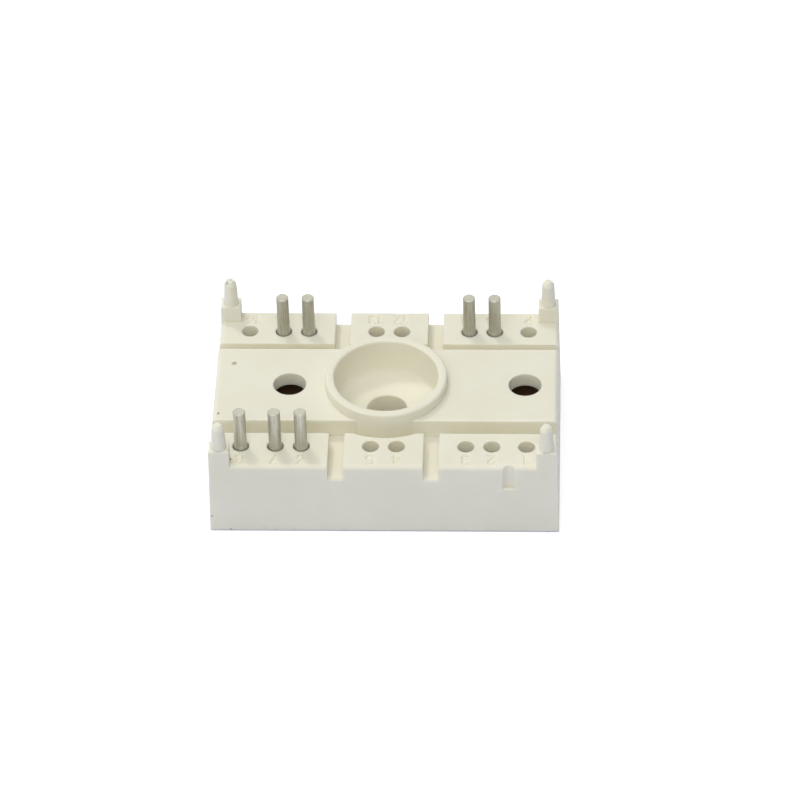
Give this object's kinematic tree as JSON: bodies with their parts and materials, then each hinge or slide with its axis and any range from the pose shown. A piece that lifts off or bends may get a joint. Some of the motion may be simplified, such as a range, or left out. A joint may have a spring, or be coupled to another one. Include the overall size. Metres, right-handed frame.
{
  "type": "igbt module",
  "caption": "Flat white power module with a central screw cup, round solder pins in two rows and four locating posts that carry a circuit board above it.",
  "frame": {"origin": "middle of the heat sink face, on the axis of the mounting screw", "axes": "+X along the long side, +Y towards the row of pins 9 to 16, +Z away from the heat sink"},
  "size_m": [0.0404, 0.028, 0.0154],
  "materials": {
    "housing_plastic": "satin, moulded, glass filled",
    "adhesive": "satin silicone adhesive",
    "gel": "clear soft silicone gel",
    "ceramic": "fine white alumina",
    "copper": "matt bonded copper",
    "silicon": "metallised chip",
    "solder": "dull solder",
    "bond_wire": "drawn aluminium wire",
    "tinned_pin": "matt tin with fine marks along the pin"
  },
  "bodies": {
    "root": {"housing": "housing_plastic", "adhesive_bead": "adhesive", "silicone_gel": "gel", "ceramic_substrate": "ceramic", "bottom_copper": "copper", "collector_copper": "copper", "emitter_copper": "copper", "gate_copper": "copper", "positive_copper": "copper", "igbt_chip": "silicon", "inverse_diode_chip": "silicon", "freewheel_diode_chip": "silicon", "chip_solder": "solder", "igbt_bond_wires": "bond_wire", "inverse_bond_wires": "bond_wire", "freewheel_bond_wires": "bond_wire", "gate_bond_wire": "bond_wire", "pin_solder": "solder", "pin_6": "tinned_pin", "pin_7": "tinned_pin", "pin_8": "tinned_pin", "pin_10": "tinned_pin", "pin_11": "tinned_pin", "pin_14": "tinned_pin", "pin_15": "tinned_pin"}
  },
  "joints": []
}
